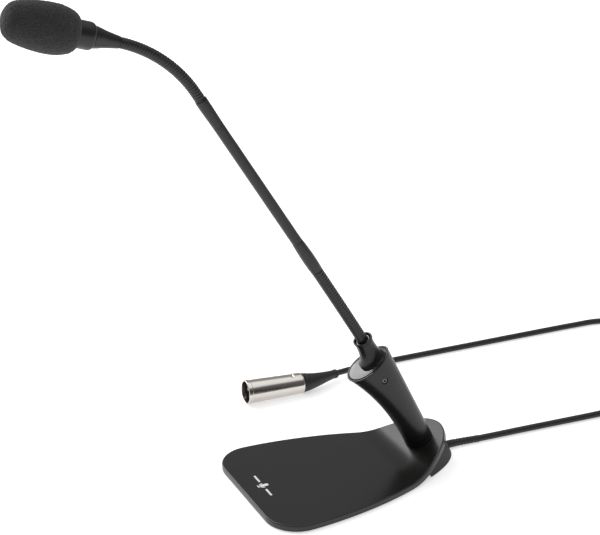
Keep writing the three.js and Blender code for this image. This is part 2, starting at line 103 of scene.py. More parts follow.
# One mesh from several closed skins, in metres, smooth but for edges sharper than the given angle.
def addPiece(name, skins, finish, sharp=34, weld=False):
    corners, sizes, places, count = [], [], [], 0
    for part in skins:
        points, quads, fans = facingOut(*part)
        corners += [(quads + count).ravel(), (fans + count).ravel()]
        sizes += [np.full(len(quads), 4), np.full(len(fans), 3)]
        places.append(points)
        count += len(points)
    corners, sizes, places = (np.concatenate(x) for x in (corners, sizes, places))
    mesh = bpy.data.meshes.new(name)
    mesh.vertices.add(len(places))
    mesh.vertices.foreach_set("co", (places * mm).astype(np.float32).ravel())
    mesh.loops.add(len(corners))
    mesh.loops.foreach_set("vertex_index", corners.astype(np.int32))
    mesh.polygons.add(len(sizes))
    mesh.polygons.foreach_set("loop_start", (np.cumsum(sizes) - sizes).astype(np.int32))
    mesh.update(calc_edges=True)
    if weld:
        merged = bmesh.new()
        merged.from_mesh(mesh)
        bmesh.ops.remove_doubles(merged, verts=merged.verts, dist=1e-6)
        bmesh.ops.dissolve_degenerate(merged, edges=merged.edges, dist=1e-7)
        merged.to_mesh(mesh)
        merged.free()
    mesh.validate()
    mesh.shade_smooth()
    mesh.set_sharp_from_angle(angle=math.radians(sharp))
    piece = bpy.data.objects.new(name, mesh)
    bpy.context.scene.collection.objects.link(piece)
    mesh.materials.append(finish)
    return piece


def settle(piece, body, slotName, *nodes):
    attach(piece, body)
    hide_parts(*nodes)
    return piece


# A piece with one closed skin over the rings, settled on its body.
def addRigid(name, rings, look, body, slotName, *nodes, closed=False, **shading):
    piece = addPiece(name, [skin(rings, closed)], finish[look], **shading)
    return settle(piece, body, slotName, *nodes)


# A polyline of (radius, height, rounding) corners with each corner turned into an arc, and with a
# point held close to both ends of every long straight stretch so that flats shade flat.
def rounded(corners, steps=6, hold=0.25):
    corners = np.array(corners, float)
    points = []
    for i, (r, h, bend) in enumerate(corners):
        corner = np.array([r, h])
        if bend <= 0 or i in (0, len(corners) - 1):
            points.append(corner)
            continue
        back, on = corners[i - 1, :2] - corner, corners[i + 1, :2] - corner
        backLong, onLong = np.hypot(*back), np.hypot(*on)
        back, on = back / backLong, on / onLong
        half = math.acos(np.clip(back @ on, -1, 1)) / 2
        setBack = min(bend / math.tan(half), 0.48 * backLong, 0.48 * onLong)
        bend = setBack * math.tan(half)
        centre = corner + (back + on) / np.hypot(*(back + on)) * bend / math.sin(half)
        sweep = math.pi - 2 * half
        start, end = corner + back * setBack - centre, corner + on * setBack - centre
        for t in np.linspace(0, 1, steps):
            a, b = math.sin((1 - t) * sweep), math.sin(t * sweep)
            points.append(centre + (start * a + end * b) / math.sin(sweep))
    held = [points[0]]
    for a, b in zip(points[:-1], points[1:]):
        long = np.hypot(*(b - a))
        if long > 4 * hold:
            held += [a + (b - a) * hold / long, b - (b - a) * hold / long]
        held.append(b)
    return np.array(held)


# Centripetal Catmull-Rom line through the given points, each stretch cut into the same number of steps.
def curveThrough(points, steps):
    points = np.array(points, float)
    ends = np.vstack([2 * points[0] - points[1], points, 2 * points[-1] - points[-2]])
    p = [ends[k : len(ends) - 3 + k, None, :] for k in range(4)]
    knots = [np.zeros((len(points) - 1, 1, 1))]
    for a, b in zip(p[:-1], p[1:]):
        knots.append(knots[-1] + np.linalg.norm(b - a, axis=-1, keepdims=True) ** 0.5)
    t = knots[1] + (knots[2] - knots[1]) * np.linspace(0, 1, steps, endpoint=False)[None, :, None]

    def between(a, b, low, high):
        return a + (b - a) * (t - low) / (high - low)

    first = [between(p[k], p[k + 1], knots[k], knots[k + 1]) for k in range(3)]
    second = [between(first[k], first[k + 1], knots[k], knots[k + 2]) for k in range(2)]
    line = between(second[0], second[1], knots[1], knots[2]).reshape(-1, points.shape[1])
    return np.vstack([line, points[-1]])


# The same line again with its points a given distance apart.
def evenly(line, step):
    along = np.concatenate([[0], np.cumsum(np.linalg.norm(np.diff(line, axis=0), axis=1))])
    at = np.linspace(0, along[-1], int(along[-1] / step) + 1)
    return np.stack([np.interp(at, along, line[:, k]) for k in range(line.shape[1])], 1)


# A local frame (axes as columns, origin) that leans forward from upright by tilt degrees, in the YZ plane.
def leaning(y, z, tilt):
    sin, cos = math.sin(math.radians(tilt)), math.cos(math.radians(tilt))
    return np.array([[1, 0, 0], [0, cos, -sin], [0, sin, cos]]), np.array([0, y, z])


def put(points, place):
    return points @ place[0].T + place[1]


# Rings of a turned shape: every (radius, height) of the profile carried round the local height axis.
def turned(profile, place, sides=96, offset=(0, 0)):
    angle = around(sides)
    r, h = profile[:, :1], profile[:, 1:2]
    rings = np.stack([r * np.cos(angle) + offset[0], r * np.sin(angle) + offset[1], h + 0 * angle], -1)
    return put(rings, place)


# Rings of a tube: circles square to the line, their starting side carried along without twisting.
def tubeRings(line, radius, sides=20, side=(0, 0, 1)):
    forward = np.gradient(line, axis=0)
    forward /= np.linalg.norm(forward, axis=1, keepdims=True)
    across = np.cross(forward, np.array(side, float))
    across /= np.linalg.norm(across, axis=1, keepdims=True)
    up = np.cross(across, forward)
    angle = around(sides)
    reach = np.broadcast_to(np.asarray(radius, float).reshape(-1, 1, 1), (len(line), 1, 1))
    circle = across[:, None] * np.cos(angle)[None, :, None] + up[:, None] * np.sin(angle)[None, :, None]
    return line[:, None] + circle * reach


class Value:  # one node output; arithmetic on it adds Math nodes
    def __init__(self, finish, socket):
        self.finish, self.socket = finish, socket

    def __add__(self, other):
        return self.finish.maths("ADD", self, other)

    def __radd__(self, other):
        return self.finish.maths("ADD", other, self)

    def __sub__(self, other):
        return self.finish.maths("SUBTRACT", self, other)

    def __rsub__(self, other):
        return self.finish.maths("SUBTRACT", other, self)

    def __mul__(self, other):
        return self.finish.maths("MULTIPLY", self, other)

    def __rmul__(self, other):
        return self.finish.maths("MULTIPLY", other, self)


class Nodes:  # a node tree that grows one node at a time
    def __init__(self, tree):
        self.tree = tree

    def node(self, kind, settings=None, inputs=None, out=0):
        made = self.tree.nodes.new("ShaderNode" + kind)
        for key, value in (settings or {}).items():
            if key == "stops":
                while len(made.color_ramp.elements) < len(value):
                    made.color_ramp.elements.new(1)
                for stop, (at, shade) in zip(made.color_ramp.elements, value):
                    stop.position, stop.color = at, (shade, shade, shade, 1)
            else:
                setattr(made, key, value)
        for key, value in (inputs or {}).items():
            if isinstance(value, Value):
                self.tree.links.new(value.socket, made.inputs[key])
            else:
                made.inputs[key].default_value = value
        return Value(self, made.outputs[out])

    def maths(self, operation, a, b):
        return self.node("Math", {"operation": operation}, {0: a, 1: b})

    def blend(self, share, low, high):
        colours = {0: share, 6: (*low, 1), 7: (*high, 1)}
        return self.node("Mix", {"data_type": "RGBA"}, colours, out=2)


class Finish(Nodes):  # a material, its shader and the place its patterns read
    def __init__(self, name, fixed):
        self.material = bpy.data.materials.new(name)
        self.material.use_nodes = True
        super().__init__(self.material.node_tree)
        self.shader = self.tree.nodes["Principled BSDF"]
        for socket, value in fixed.items():
            self.shader.inputs[socket].default_value = value
        self.place = self.node("TexCoord", out="Object")

    def noise(self, scale, detail=3):
        where = {"Vector": self.place, "Scale": scale, "Detail": detail, "Roughness": 0.55}
        return self.node("TexNoise", inputs=where, out="Fac")

    def feed(self, socket, value):
        self.tree.links.new(value.socket, self.shader.inputs[socket])

    def bump(self, height, depth, strength=1.0):
        inputs = {"Height": height, "Distance": depth * mm, "Strength": strength}
        self.feed("Normal", self.node("Bump", inputs=inputs, out="Normal"))


# Colour and roughness drift in broad patches, and a fine grain roughens the surface.
def grained(name, dark, light, roughness, patchSize, grainSize, grainDepth, fixed):
    made = Finish(name, fixed)
    patch, grain = made.noise(patchSize, 2), made.noise(grainSize, 4)
    low, high = roughness
    made.feed("Base Color", made.blend(patch * 0.5 + grain * 0.5, dark, light))
    made.feed("Roughness", (patch * 0.6 + grain * 0.4) * (high - low) + low)
    made.bump(grain, grainDepth)
    return made.material


def grey(value, warmth=0.0):
    return value * (1 + warmth), value, value * (1 - warmth)


# Each row: dark and light colour, roughness from and to, how fine the patches and the grain are, how deep
# the grain is in millimetres, and sockets that hold one value.
finishes = {
    "plateCoat": (
        grey(0.008, 0.05), grey(0.013, 0.05), (0.20, 0.26), 14, 2600, 0.012,
        {"Specular IOR Level": 0.5},
    ),
    "columnPlastic": (
        grey(0.007, 0.04), grey(0.011, 0.04), (0.27, 0.34), 30, 2200, 0.010,
        {"Specular IOR Level": 0.4},
    ),
    "glossPlastic": (
        grey(0.005), grey(0.008), (0.10, 0.15), 60, 900, 0.002,
        {"Specular IOR Level": 0.6, "Coat Weight": 0.3},
    ),
    "collarPlastic": (grey(0.006), grey(0.010), (0.22, 0.28), 60, 1400, 0.004, {"Specular IOR Level": 0.36}),
    # The cable housing's grey, lighter than the plate's black, is painted light: it stands in for the light the
    # housing catches from behind.
    "housingPlasticPaintedLight": (
        grey(0.032, 0.01), grey(0.045, 0.01), (0.6, 0.75), 40, 2400, 0.02,
        {"Specular IOR Level": 0.35},
    ),
    "padRubber": (grey(0.012), grey(0.02), (0.75, 0.9), 30, 1400, 0.05, {}),
    "insertPlastic": (grey(0.012), grey(0.02), (0.42, 0.55), 90, 2600, 0.01, {}),
    "neckPaint": (
        grey(0.008, 0.02), grey(0.013, 0.02), (0.32, 0.42), 45, 3000, 0.008,
        {"Specular IOR Level": 0.5},
    ),
    "flexCover": (grey(0.008), grey(0.014), (0.34, 0.45), 60, 3200, 0.010, {"Specular IOR Level": 0.5}),
    "screwSteel": (grey(0.12), grey(0.22), (0.3, 0.45), 200, 4000, 0.006, {"Metallic": 0.8}),
    "cableJacket": (
        grey(0.011, 0.02), grey(0.018, 0.02), (0.45, 0.55), 25, 2800, 0.012,
        {"Specular IOR Level": 0.45},
    ),
    "bootRubber": (
        grey(0.016, 0.03), grey(0.025, 0.03), (0.5, 0.6), 50, 2600, 0.012,
        {"Specular IOR Level": 0.4},
    ),
    "nickelPlate": (
        (0.56, 0.53, 0.50), (0.70, 0.665, 0.62), (0.17, 0.25), 90, 2600, 0.002,
        {"Metallic": 1.0},
    ),
    "ringNickel": (grey(0.16, 0.03), grey(0.24, 0.03), (0.34, 0.45), 90, 2600, 0.003, {"Metallic": 0.9}),
    "contactPlate": (
        (0.66, 0.60, 0.48), (0.80, 0.74, 0.62), (0.18, 0.28), 300, 4000, 0.002,
        {"Metallic": 1.0},
    ),
    "capsuleMetal": (grey(0.42), grey(0.55), (0.28, 0.4), 120, 3000, 0.004, {"Metallic": 1.0}),
    "printWhite": (grey(0.72), grey(0.82), (0.5, 0.65), 200, 4000, 0.004, {}),
}
finish = {name: grained(name, *look) for name, look in finishes.items()}

foamLook = {"dark": grey(0.017, 0.01), "light": grey(0.060, 0.01), "cell": 1500, "depth": 0.35}


# Open-cell foam: dark pores between lighter webs, from the distance to the nearest cell centre.
def foamFinish():
    made = Finish("foamFinish", {"Specular IOR Level": 0.25, "Roughness": 0.95, "Sheen Weight": 0.12})
    cells = {"Vector": made.place, "Scale": foamLook["cell"], "Randomness": 1.0}
    pores = made.node("TexVoronoi", {"feature": "F1"}, cells, out="Distance")
    clumps = made.noise(420, 3)
    fuzz = made.noise(4200, 2)
    webs = pores * 0.8 + clumps * 0.45 + fuzz * 0.25 - 0.3
    made.feed("Base Color", made.blend(webs, foamLook["dark"], foamLook["light"]))
    made.bump(webs, foamLook["depth"], 0.9)
    return made.material


strapLook = {"dark": grey(0.010), "light": grey(0.035), "weave": 650}


# Woven strap: two crossed sets of fine waves.
def strapFinish():
    made = Finish("strapWeave", {"Roughness": 0.85, "Sheen Weight": 0.2})
    fine = {"Vector": made.place, "Scale": strapLook["weave"]}
    bands = [made.node("TexWave", {"bands_direction": way}, fine, out="Fac") for way in ("X", "Z")]
    weave = bands[0] * 0.5 + bands[1] * 0.5
    made.feed("Base Color", made.blend(weave, strapLook["dark"], strapLook["light"]))
    made.bump(weave, 0.1)
    return made.material


# Fine woven mesh over the capsule: a regular net of dark holes.
def meshFinish():
    made = Finish("grilleMesh", {"Metallic": 0.9, "Roughness": 0.4})
    net = {"Vector": made.place, "Scale": 1700, "Randomness": 0.0}
    holes = made.node("TexVoronoi", {"feature": "F1"}, net, out="Distance")
    edge = made.node("ValToRGB", {"stops": [(0.32, 0.0), (0.42, 1.0)]}, {"Fac": holes}, out="Color")
    made.feed("Base Color", made.blend(edge, grey(0.01), grey(0.3)))
    made.bump(edge, 0.1)
    return made.material


finish["foam"] = foamFinish()
finish["strap"] = strapFinish()
finish["mesh"] = meshFinish()


cable = {
    "radius": 2.4, "length": 3.05,
    "out": [
        (0, 84.9, 3.1), (0.2, 95, 2.7), (1.2, 108, 2.45), (3.2, 140, 2.45), (5.6, 175, 2.45),
        (8, 212, 2.45), (8.6, 245, 2.45), (6.6, 278, 2.45), (4, 300, 2.45), (3.7, 309, 2.45),
    ],
    "back": [
        (-37.5, 350.2, 2.45), (-62, 350, 2.45), (-88, 347.5, 2.45), (-110, 341, 2.45), (-126, 329, 2.45),
        (-133.8, 312, 2.45), (-135.8, 290, 2.45), (-138, 240, 2.45), (-140, 185, 2.45), (-142.4, 125, 2.45),
        (-142.4, 105, 2.75), (-141, 88, 3.6), (-138.2, 72, 4.9), (-134.4, 57.8, 6.3), (-131.6, 49, 7.05),
    ],
    "boot": [
        (-127.59, 24, 8.18), (-127.4, 29, 8.05), (-128.8, 39, 7.7), (-131.4, 48.5, 7.1), (-134.2, 57.5, 6.3),
    ],
}
coil = {
    "centre": (-37.5, 309), "lane": 41.2, "outer": 36.1, "pitch": 4.8, "floor": 2.95, "wide": 5,
    "shift": 60, "leadIn": 55, "tableZ": 2.45, "cross": (170, 300), "climb": (155, 195), "fall": (305, 440),
}


# Radius and height of the coil at each angle. Whole turns lie side by side in layers, the first winding
# inwards, the next outwards; the last turn crosses over the rest to the outside and comes down.
def coilLine():
    inward = [coil["outer"] - k * coil["pitch"] for k in range(coil["wide"])]
    layers = [inward, inward[::-1], inward[:3]]
    turns = [(r, coil["floor"] + level * coil["pitch"]) for level, rs in enumerate(layers) for r in rs]
    last = (inward[3], coil["floor"] + 2 * coil["pitch"])
    angle = np.arange(5, len(turns) * 360 + 445, 6.0)
    which = np.minimum(angle // 360, len(turns)).astype(int)
    table = np.array(turns + [last, last])
    step = smoothStep(angle % 360, 360 - coil["shift"], 360) * (which < len(turns))
    radius = table[which, 0] + (table[which + 1, 0] - table[which, 0]) * step
    height = table[which, 1] + (table[which + 1, 1] - table[which, 1]) * step
    entry = 1 - smoothStep(angle, 0, coil["leadIn"])
    radius += (coil["lane"] - coil["outer"]) * entry
    height += (coil["tableZ"] - coil["floor"]) * entry
    tail = angle - len(turns) * 360
    radius += (coil["lane"] - last[0]) * smoothStep(tail, *coil["cross"])
    height += coil["pitch"] * smoothStep(tail, *coil["climb"])
    height += (coil["tableZ"] - last[1] - coil["pitch"]) * smoothStep(tail, *coil["fall"])
    turn = np.radians(angle)
    x, y = (coil["centre"][0] + radius * np.cos(turn), coil["centre"][1] + radius * np.sin(turn))
    return np.stack([x, y, height], 1)


def addCable():
    route = np.vstack([cable["out"], coilLine(), cable["back"]])
    line = evenly(curveThrough(route, 6), 2.2)
    rings, nodes = tubeRings(line, cable["radius"], 16), ("cable_out", "cable_coil", "cable_back")
    return addRigid("cableLead", rings, "cableJacket", "base", "cord_rubber", *nodes), line


plug = {
    "front": (-129.6, -24, 9.47), "back": (-127.6, 23.5, 8.2), "length": 47.5, "frontRadius": 9.45,
    "backRadius": 8.15, "wall": 1.0, "depth": 17, "insert": 2.6, "pinRadius": 1.15, "pinCircle": 4.3,
    "pinLong": 11, "tab": (1.6, 7.6), "tabHeight": 0.3, "notch": (8.4, 9.6), "notchDepth": 0.15,
    "tabHalfAngle": (19, 24), "sleeve": 2.6, "fineTo": 12, "sides": 160,
}
contactSides = [(1, 0), (0, -1), (-1, 0)]


def plugPlace():
    forward = np.array(plug["front"]) - np.array(plug["back"])
    forward /= np.linalg.norm(forward)
    up = np.array([0, 0, 1.0]) - forward * forward[2]
    up /= np.linalg.norm(up)
    return np.stack([np.cross(up, forward), up, forward], 1), np.array(plug["back"])


# Turned shell with an open mouth. A raised tab and a notch before it stand on the top of its rear end, so
# the profile's points lie close together there.
def addPlugShell(place):
    f, b, long, wall, depth = (plug[k] for k in ("frontRadius", "backRadius", "length", "wall", "depth"))
    sleeve, floor, fineTo = plug["sleeve"], long - depth, plug["fineTo"]
    profile = rounded([
        (sleeve, 0, 0), (b - 0.1, 0, 0.5), (b + 0.02, 1.2, 0), (b + 0.21, 8, 0), (f - 0.25, 38, 0),
        (f - 0.2, long - 3.4, 0.15), (f, long - 3.0, 0.2), (f, long, 0.35), (f - wall, long, 0.3),
        (f - wall - 0.1, floor, 0.2), (sleeve, floor, 0),
    ])
    rear = profile[:, 1] < fineTo
    fine = np.linspace(1.4, fineTo, 60)
    outside = np.stack([b + 0.03 * fine, fine], 1)
    profile = np.vstack([profile[rear & (profile[:, 1] < 1.3)], outside, profile[~rear]])
    angle = around(plug["sides"])
    top = 1 - smoothStep(np.abs(angle - math.pi / 2), *np.radians(plug["tabHalfAngle"]))
    h, (tabFrom, tabTo), (notchFrom, notchTo) = profile[:, 1], plug["tab"], plug["notch"]
    tab = smoothStep(h, tabFrom - 0.5, tabFrom) * (1 - smoothStep(h, tabTo, tabTo + 0.4))
    notch = smoothStep(h, notchFrom - 0.4, notchFrom) * (1 - smoothStep(h, notchTo, notchTo + 0.5))
    swell = (tab * plug["tabHeight"] - notch * plug["notchDepth"])[:, None] * top[None]
    radius = profile[:, :1] + swell * (profile[:, :1] > b - 1)
    rings = np.stack([radius * np.cos(angle), radius * np.sin(angle), h[:, None] + 0 * angle], -1)
    return addRigid("plugShell", put(rings, place), "nickelPlate", "base", "nickel", "plug_shell", sharp=40)


def addPlugInside(place):
    floor = plug["length"] - plug["depth"]
    r = plug["frontRadius"] - plug["wall"] - 0.45
    face = floor + plug["insert"]
    disc = rounded([
        (0.4, floor + 0.2, 0), (r, floor + 0.2, 0.1), (r, face, 0.25), (r - 0.9, face, 0.1),
        (r - 1.1, face - 0.35, 0.1), (0.4, face - 0.35, 0),
    ])
    rings = turned(disc, place)
    insert = addRigid("plugInsert", rings, "insertPlastic", "base", "insert_plastic", "plug_insert")
    return [insert, *addPins("plug", plug, (face - 0.3, face + plug["pinLong"]), place, "base")]


# Three round-ended contacts on a circle round the connector's axis.
def addPins(kind, sizes, span, place, body):
    (low, high), radius = span, sizes["pinRadius"]
    shoulder = high - 0.2 * (high - low)
    pin = [
        (0.15, low, 0), (radius, low, 0), (radius, shoulder, 0), (radius, high, 0.9 * radius), (0.05, high, 0),
    ]
    pins = []
    for i, (x, y) in enumerate(contactSides, 1):
        rings = turned(rounded(pin, 8), place, 32, (x * sizes["pinCircle"], y * sizes["pinCircle"]))
        pins.append(addRigid(f"{kind}Pin{i}", rings, "contactPlate", body, "contact", f"{kind}_pin_{i}"))
    return pins


boot = {"start": 5.5, "end": 0.85, "fall": 1.45, "bead": 0.35, "groove": 0.25}


# Rubber sleeve: it stands off the cable by a height that falls as a power of the way along, with a shallow
# groove near the shell and a bead at its end.
def addBoot():
    line = evenly(curveThrough(cable["boot"], 30), 0.35)
    t = np.linspace(0, 1, len(line))
    radius = cable["radius"] + boot["end"] + (boot["start"] - boot["end"]) * (1 - t) ** boot["fall"]
    radius += boot["bead"] * smoothStep(t, 0.915, 0.93) * (1 - smoothStep(t, 0.985, 1.0))
    radius -= boot["groove"] * (smoothStep(t, 0.03, 0.045) * (1 - smoothStep(t, 0.06, 0.075)))
    rings = tubeRings(line, radius, 64)
    return addRigid("plugBoot", rings, "bootRubber", "base", "cord_rubber", "plug_boot", sharp=50)


relief = {"y": 84.3, "z": 3.1, "long": 24, "start": 2.95, "end": 2.62, "ribs": 5, "groove": 0.22}


# Tapered sleeve at the cable's exit, with shallow grooves round it.
def addRelief(line):
    path = line[(line[:, 1] < relief["y"] + relief["long"]) & (line[:, 0] > -10)]
    inside = [[0, relief["y"] - back, relief["z"]] for back in (6, 3)]
    path = evenly(np.vstack([inside, path]), 0.2)
    t = np.linspace(0, 1, len(path))
    groove = 0.5 - 0.5 * np.cos(t * relief["ribs"] * 2 * fullTurn)
    radius = relief["start"] + (relief["end"] - relief["start"]) * t
    radius -= relief["groove"] * groove * smoothStep(t, 0.28, 0.34) * (1 - smoothStep(t, 0.9, 0.96))
    rings = tubeRings(path, radius, 40)
    return addRigid("cableRelief", rings, "bootRubber", "base", "cord_rubber", "cable_bushing", sharp=60)


tie = {
    "turn": 225, "width": 9, "thick": 0.9, "radius": 26.5, "inside": (12.3, 14.75), "low": 0.05, "round": 2.6,
    "play": 0.1, "under": 0.45,
}


# Strap round the coil: a rounded rectangle carried along a short stretch of the coil.
def addTie():
    wide, high = tie["inside"]
    low, bend, play = tie["low"], tie["round"], tie["play"]
    right, top = wide + tie["thick"], high + tie["thick"]
    near, roof, ground = wide + play, high + play, low + tie["under"]
    corners = (
        [(0, low, 0), (right, low, bend), (right, top, bend), (0, top, 0)],
        [(0, roof, 0), (near, roof, bend), (near, ground, bend), (0, ground, 0)],
    )
    halves = [rounded(half, 10) for half in corners]
    loops = [np.vstack([half, (half * [-1, 1])[::-1][1:-1]]) for half in halves]
    count = min(len(loop) for loop in loops)
    outside, inside = (loop[np.linspace(0, len(loop) - 1, count).astype(int)] for loop in loops)
    turn = math.radians(tie["turn"])
    out, along = np.array([math.cos(turn), math.sin(turn)]), np.array([-math.sin(turn), math.cos(turn)])
    rings = []
    for loop, shift in ((outside, -0.5), (outside, 0.5), (inside, 0.5), (inside, -0.5)):
        flat = (tie["radius"] + loop[:, :1]) * out + shift * tie["width"] * along + coil["centre"]
        rings.append(np.hstack([flat, loop[:, 1:]]))
    return addRigid("coilTie", np.array(rings), "strap", "base", "base_rubber", "coil_tie", closed=True)


addCamera()
cableLead, cableLine = addCable()
place = plugPlace()
onCable = [addPlugShell(place), *addPlugInside(place), addBoot(), addTie(), addRelief(cableLine)]
cableLine * mm
cableLong = np.linalg.norm(np.diff(cableLine, axis=0), axis=1).sum()
print("cable, coil and plug made:", round(float(cableLong)), "mm of cable")


plate = {
    "frontY": -82, "long": 159.3, "halfWidth": 58.3, "corner": 23.5, "taper": 1.65, "thick": 4.4,
    "top": 5.1, "topRound": 0.8, "underRound": 0.5, "rampStart": 118, "rampAngle": 26, "bend": 40,
}


# A point on the bent plate's top: x across, s along the unbent plate, up off it. The bend is an arc
# between two tangent flats.
def onPlate(x, s, up):
    angle = math.radians(plate["rampAngle"])
    start = plate["rampStart"] - plate["bend"] * math.tan(angle / 2)
    turn = np.clip((s - start) / plate["bend"], 0, angle)
    beyond = np.maximum(s - start - plate["bend"] * angle, 0)
    y = np.minimum(s, start) + plate["bend"] * np.sin(turn) + beyond * np.cos(turn)
    z = plate["bend"] * (1 - np.cos(turn)) + beyond * np.sin(turn)
    y, z = plate["frontY"] + y - up * np.sin(turn), plate["top"] + z + up * np.cos(turn)
    return np.stack([x + 0 * y, y, z], -1)


# The plate's outline from the middle of its front edge round to the tip and back: a straight front, round
# corners, and sides whose half width falls as the root of one less a power of the way along.
def plateOutline(inset=0.0, fine=1):
    r, long, half = plate["corner"], plate["long"], plate["halfWidth"]
    front = np.linspace(0, half - r, 20 * fine, endpoint=False)
    corner = np.linspace(0, math.pi / 2, 26 * fine, endpoint=False)
    side = quarter(170 * fine)
    s = r + (long - r) * np.sin(side)
    x = half * np.sqrt(np.maximum(1 - ((s - r) / (long - r)) ** plate["taper"], 0))
    right = np.vstack([
        np.stack([front, 0 * front], 1),
        np.stack([half - r + r * np.sin(corner), r - r * np.cos(corner)], 1),
        np.stack([x, s], 1),
    ])
    loop = np.vstack([right, (right * [-1, 1])[-2:0:-1]])
    along = np.roll(loop, -1, 0) - np.roll(loop, 1, 0)
    out = np.stack([along[:, 1], -along[:, 0]], 1) / np.linalg.norm(along, axis=1, keepdims=True)
    return loop - out * inset


# Rows run from the spine line out over the top, round both edges, and back to the spine underneath.
def addPlate():
    outline = plateOutline()
    spine = np.stack([0 * outline[:, 0], np.clip(outline[:, 1], plate["corner"], plate["long"] - 20)], 1)

    def inside(share, up, edge):
        flat = spine + share * (plateOutline(edge) - spine)
        return onPlate(flat[:, 0], flat[:, 1], up)

    rings = [inside(share, 0, plate["topRound"]) for share in (0, 0.25, 0.5, 0.7, 0.85, 0.94, 0.985, 0.997)]
    for high, edge, way in ((0, plate["topRound"], 1), (-plate["thick"], plate["underRound"], -1)):
        for turn in quarter(8)[::way]:
            loop = plateOutline(edge * (1 - math.sin(turn)))
            rings.append(onPlate(loop[:, 0], loop[:, 1], high - way * edge * (1 - math.cos(turn))))
    for share in (0.995, 0.97, 0.8, 0.5, 0.2, 0):
        rings.append(inside(share, -plate["thick"], plate["underRound"]))
    points, quads, fans = skin(np.array(rings))
    sheet = (points[:-2], quads, fans[:0])  # the spine's two ends meet, so no fan is needed
    piece = addPiece("basePlate", [sheet], finish["plateCoat"], weld=True)
    return settle(piece, "base", "base_steel", "base_plate")


mark = {"x": -2.0, "s": 15.0, "line": 0.42, "low": 0.01, "lift": 0.05, "bar": (5.5, 14.5), "barHalf": 0.75}


# A plain pictogram printed near the front edge: a capsule on a stand between two short bars.
def addMark():
    sides = ((1, mark["low"]), (1, mark["lift"]), (-1, mark["lift"]), (-1, mark["low"]))

    # a raised strip along the path, its half width one number or one for each point
    def strip(path, out, half):
        edges = [(path + side * out * half, up) for side, up in sides]
        return skin(np.stack([onPlate(p[:, 0] + mark["x"], p[:, 1] + mark["s"], up) for p, up in edges], 1))

    def ribbon(points, half=mark["line"]):
        path = np.array(points, float)
        along = np.gradient(path, axis=0)
        out = np.stack([along[:, 1], -along[:, 0]], 1) / np.linalg.norm(along, axis=1, keepdims=True)
        return strip(path, out, half)

    cup = np.radians(np.linspace(180, 360, 40))
    pill = np.linspace(-1, 1, 40)
    widths = 1.5 * np.sqrt(np.clip(1 - np.clip(np.abs(pill) * 3.0 - 1.5, 0, 1.48) ** 2 / 2.25, 0.02, 1))
    skins = [
        strip(np.stack([0 * pill, 1.3 + 2.9 * pill], 1), np.array([1, 0]), widths[:, None]),
        ribbon(np.stack([2.7 * np.cos(cup), 0.6 + 2.7 * np.sin(cup)], 1)),
        ribbon([(0, -2.1), (0, -3.3)]),
        ribbon([(-1.8, -3.5), (1.8, -3.5)]),
        *(ribbon([(side * end, 0) for end in mark["bar"]], mark["barHalf"]) for side in (-1, 1)),
    ]
    piece = addPiece("printedMark", skins, finish["printWhite"])
    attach(piece, "base")


housing = {"inset": 2.6, "front": 127.2, "gap": 0.3, "low": 0.3, "drawIn": 0.03}


# Cable housing under the ramp: the ramp's outline carried down square to the ramp to just off the table.
def addHousing():
    loop = plateOutline(housing["inset"])
    loop = loop[loop[:, 1] > housing["front"]]
    middle = loop.mean(0)
    top = -plate["thick"] - housing["gap"]
    surface = onPlate(loop[:, 0], loop[:, 1], 0 * loop[:, 1])[:, 2]
    floor = (housing["low"] - surface) / math.cos(math.radians(plate["rampAngle"]))

    def ring(share, up):
        drawn = middle + (loop - middle) * share
        return onPlate(drawn[:, 0], drawn[:, 1], up)

    rings = [ring(0.97, top), ring(1, top)]
    for share in np.concatenate([[0.02], np.linspace(0.1, 0.9, 8), [0.97]]):
        rings.append(ring(1, top + (floor - top) * share))
    for turn in quarter(6)[1:]:
        rings.append(ring(1 - housing["drawIn"] * (1 - math.cos(turn)), floor))
    rings = np.array(rings)
    # Its finish is painted light: a grey lighter than the plate's black, standing in for light caught from
    # behind.
    return addRigid("cableHousing", rings, "housingPlasticPaintedLight", "base", "housing_plastic", "cable_housing")


column = {
    "foot": (53.8, 18.9), "top": (13.2, 83.65), "bow": 2, "long": (10.2, 17.6), "wide": (10.2, 12.5),
    "tilt": (26, 34), "egg": 0.12, "start": -0.048, "rim": 1.3, "recess": 2.2, "flare": 0.15, "edge": 0.55,
    "sides": 144, "bore": (6, 14),
}
socket = {"y": 16.9, "z": 86.2, "tilt": 26, "radius": 8, "depth": 25.9}
socketPlace = leaning(socket["y"], socket["z"], socket["tilt"])


# Oval across the column at height share t: half axes, tilt and place run from foot to top, and the line
# through the ovals' middles bows forward. The oval is a little egg-shaped.
def ovalRing(t, grow=0.0, up=0.0):
    held = max(t, 0)
    y, z = (a + (b - a) * t for a, b in zip(column["foot"], column["top"]))
    bow = 4 * column["bow"] * t * (1 - t)
    tilt = math.radians(column["tilt"][0] + (column["tilt"][1] - column["tilt"][0]) * held)
    long = column["long"][0] + (column["long"][1] - column["long"][0]) * (1.14 * held - 0.14) * held
    wide = column["wide"][0] + (column["wide"][1] - column["wide"][0]) * (1.67 - 0.67 * held) * held
    angle = around(column["sides"])
    along = (long + grow) * np.cos(angle)
    across = (wide + grow) * np.sin(angle) * (1 - column["egg"] * held * np.cos(angle))
    sin, cos = math.sin(tilt), math.cos(tilt)
    y, z = y + bow * 0.87, z + bow * 0.5
    return np.stack([-across, y + along * cos - up * sin, z + along * sin + up * cos], 1)


# Where a cylinder about the socket's axis crosses the plane of the column's top, moved up by a distance.
def boreRing(radius, up):
    axes, origin = socketPlace
    tilt = math.radians(column["tilt"][1])
    normal = np.array([0, -math.sin(tilt), math.cos(tilt)])
    level = np.array([0, column["top"][0], column["top"][1]]) + normal * up
    angle = around(column["sides"])
    side = np.stack([-np.sin(angle), np.cos(angle), 0 * angle], 1) * radius @ axes.T + origin
    axis = axes[:, 2]
    reach = ((level - side) @ normal) / (axis @ normal)
    return side + reach[:, None] * axis


